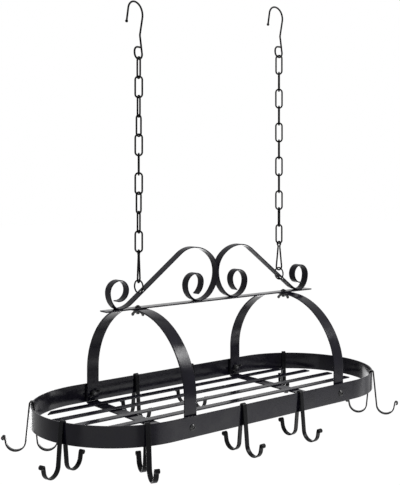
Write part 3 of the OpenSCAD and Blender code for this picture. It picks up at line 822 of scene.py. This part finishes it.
def makeWingNuts(name, node, model, places, grip, turn):
    bm = bmesh.new()
    for i, place in enumerate(places):
        start = len(bm.verts)
        bm.from_mesh(model.data)
        bm.verts.ensure_lookup_table()
        seat = place @ Matrix.Translation((0, 0, grip * mm)) @ Matrix.Rotation(math.radians(turn), 4, "Z")
        bmesh.ops.transform(bm, matrix=seat, verts=bm.verts[start:])
    mesh = bpy.data.meshes.new(name)
    bm.to_mesh(mesh)
    bm.free()
    piece = bpy.data.objects.new(name, mesh)
    bpy.context.collection.objects.link(piece)
    setPiece(piece, "fastener_black", node)


rimGrip, topGrip = 3 * strap["thickness"], 2 * strap["thickness"]
makeBolts("rimBolts", "rim_bolts", rimBoltPlaces, rimGrip)
makeBolts("topBolts", "top_bolts", topBoltPlaces, topGrip)
wingNut = wingNutMesh()
makeWingNuts("rimWingNuts", "rim_wing_nuts", wingNut, rimBoltPlaces, rimGrip, nut["rimTurn"])
makeWingNuts("topWingNuts", "top_wing_nuts", wingNut, topBoltPlaces, topGrip, nut["topTurn"])
bpy.data.objects.remove(wingNut)
print("bolts and wing nuts made")


weld = {
    "slat": 1.3, "scroll": 0.9, "seam": 0.8, "ripple": 1.3, "rippleShare": 0.10, "unevenShare": 0.16,
    "sides": 12, "slatSunk": 0.2, "slatEnds": 3.0, "edgeSunk": 0.2, "footLift": 0.3, "footHalf": 5.0,
    "meetingHalf": 6.0, "seamSunk": 0.1, "seamEnds": 1.5,
}


# A bead along a line: ripples where the puddle froze, uneven by noise, drawn in at both ends
def beadShape(start, end, radius, seed):
    start, end = Vector(start), Vector(end)
    length = (end - start).length / mm
    along = (end - start).normalized()
    across = along.orthogonal().normalized()
    up = along.cross(across)
    rows, sides = max(8, int(length / weld["ripple"] * 4)), weld["sides"]
    points = []
    for i in range(rows + 1):
        t = i / rows
        toEnd = min(t, 1 - t) * length / radius
        ends = math.sin(math.pi / 2 * min(1.0, max(0.04, toEnd)))
        ripple = 1 + weld["rippleShare"] * math.cos(2 * math.pi * t * length / weld["ripple"])
        for k in range(sides):
            a = 2 * math.pi * k / sides
            rough = 1 + weld["unevenShare"] * noise.noise(Vector((t * length * 0.7, seed * 7.3, a)))
            r = radius * ends * ripple * rough
            p = start / mm + along * t * length + (across * math.cos(a) + up * math.sin(a)) * r
            points.append(tuple(p))
    return points, ringFaces(rows, sides)


def makeWelds(name, lines, slotName, body, radius):
    beads = [beadShape(start, end, radius, seed) for seed, (start, end) in enumerate(lines)]
    piece = makePiece(name, [(bead, Matrix.Identity(4)) for bead in beads])
    piece.data.materials.append(finishes[slotName])
    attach(piece, body)


# Each slat is welded along the inner edge of each cross-bar, from below
slatWelds = []
for side in ("left", "right"):
    low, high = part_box("crossbar_" + side)
    inward = low.x if low.x > 0 else high.x
    for number in slatNumbers:
        slatLow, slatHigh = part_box(f"slat_{number}")
        z = slatLow.z - weld["slatSunk"] * mm
        start, end = slatLow.y + weld["slatEnds"] * mm, slatHigh.y - weld["slatEnds"] * mm
        slatWelds.append(((inward, start, z), (inward, end, z)))
makeWelds("slatWelds", slatWelds, "strap_coat", "rack", weld["slat"])

# The scrolls are welded to the bar beside each foot, and to each other at the back edge
scrollWelds = []
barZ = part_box("top_bar")[1].z
back = (scroll["width"] / 2 - weld["edgeSunk"]) * mm
footZ = barZ + weld["footLift"] * mm
footHalf, meetingHalf = weld["footHalf"] * mm, weld["meetingHalf"] * mm
for x in scrollFeet:
    for y in (-back, back):
        scrollWelds.append(((x - footHalf, y, footZ), (x + footHalf, y, footZ)))
scrollWelds.append(((0, back, meetingZ - meetingHalf), (0, back, meetingZ + meetingHalf)))
makeWelds("scrollWelds", scrollWelds, "scroll_coat", "rack", weld["scroll"])

# The rim's ends meet inside the right end
seamX = rimHigh.x - (strap["thickness"] - weld["seamSunk"]) * mm
seamEnds = weld["seamEnds"] * mm
seam = ((seamX, 0, rimLow.z + seamEnds), (seamX, 0, rimHigh.z - seamEnds))
makeWelds("rimSeam", [seam], "strap_coat", "rack", weld["seam"])
print("welds made")


# Floor, lamps and world. "Seen" values hold for the camera and for mirrored rays, the others for light.
stage = {
    "floorZ": -2.15, "floorSize": 60.0, "floorColour": 0.82, "seenFloorColour": 0.30, "seenFloorGlow": 0.97,
    "worldLight": 0.14, "seenWorld": 1.0,
}
lamps = {
    "key": {"place": (1.7, -1.8, -1.75), "aim": (0, 0, -0.72), "size": (3.4, 0.9), "power": 32.0},
    "fill": {"place": (-1.9, -1.5, -1.4), "aim": (-0.3, 0, -0.72), "size": (3.0, 1.0), "power": 12.0},
    "glint": {"place": (1.29, -1.2, 0.8), "aim": (-0.1, 0, -0.6), "size": (0.45, 0.8), "power": 34.0},
    "top": {"place": (-0.5, 0.2, 1.7), "aim": (0, 0, -0.6), "size": (1.6, 1.6), "power": 20.0},
    "rear": {"place": (1.2, 2.4, -1.3), "aim": (0, 0, -0.7), "size": (2.4, 1.0), "power": 34.0},
}


def addSeenByLens(tree):
    rays = tree.nodes.new("ShaderNodeLightPath")
    seen = addMath(tree, "MAXIMUM", rays.outputs["Is Camera Ray"], rays.outputs["Is Glossy Ray"])
    return addMath(tree, "MAXIMUM", seen, rays.outputs["Is Transmission Ray"])


def makeFloor():
    bpy.ops.mesh.primitive_grid_add(size=stage["floorSize"], location=(0, 0, stage["floorZ"]))
    floor = bpy.context.object
    floor.name = "floor"
    material = bpy.data.materials.new("paleFloor")
    material.use_nodes = True
    tree = material.node_tree
    tree.nodes.remove(tree.nodes["Principled BSDF"])
    plain = tree.nodes.new("ShaderNodeBsdfDiffuse")
    plain.inputs["Color"].default_value = (*[stage["floorColour"]] * 3, 1)
    faint = tree.nodes.new("ShaderNodeBsdfDiffuse")
    faint.inputs["Color"].default_value = (*[stage["seenFloorColour"]] * 3, 1)
    white = tree.nodes.new("ShaderNodeEmission")
    white.inputs["Strength"].default_value = stage["seenFloorGlow"]
    both = tree.nodes.new("ShaderNodeAddShader")
    tree.links.new(faint.outputs[0], both.inputs[0])
    tree.links.new(white.outputs[0], both.inputs[1])
    mix = tree.nodes.new("ShaderNodeMixShader")
    tree.links.new(addSeenByLens(tree), mix.inputs[0])
    tree.links.new(plain.outputs[0], mix.inputs[1])
    tree.links.new(both.outputs[0], mix.inputs[2])
    tree.links.new(mix.outputs[0], tree.nodes["Material Output"].inputs["Surface"])
    floor.data.materials.append(material)


def makeLamps():
    for name, lamp in lamps.items():
        light = bpy.data.lights.new(name, "AREA")
        light.shape = "RECTANGLE"
        light.size, light.size_y = lamp["size"]
        light.energy = lamp["power"]
        holder = bpy.data.objects.new(name, light)
        holder.location = lamp["place"]
        way = Vector(lamp["aim"]) - Vector(lamp["place"])
        holder.rotation_euler = way.to_track_quat("-Z", "Y").to_euler()
        holder.visible_camera = False
        bpy.context.collection.objects.link(holder)


def makeWorld():
    world = bpy.data.worlds.new("studio")
    bpy.context.scene.world = world
    world.use_nodes = True
    tree = world.node_tree
    soft = tree.nodes["Background"]
    soft.inputs["Color"].default_value = (1, 1, 1, 1)
    soft.inputs["Strength"].default_value = stage["worldLight"]
    white = tree.nodes.new("ShaderNodeBackground")
    white.inputs["Color"].default_value = (1, 1, 1, 1)
    white.inputs["Strength"].default_value = stage["seenWorld"]
    mix = tree.nodes.new("ShaderNodeMixShader")
    tree.links.new(addSeenByLens(tree), mix.inputs[0])
    tree.links.new(soft.outputs[0], mix.inputs[1])
    tree.links.new(white.outputs[0], mix.inputs[2])
    tree.links.new(mix.outputs[0], tree.nodes["World Output"].inputs["Surface"])


makeFloor()
makeLamps()
makeWorld()
bpy.context.scene.view_settings.view_transform = "Standard"
print("stage ready")
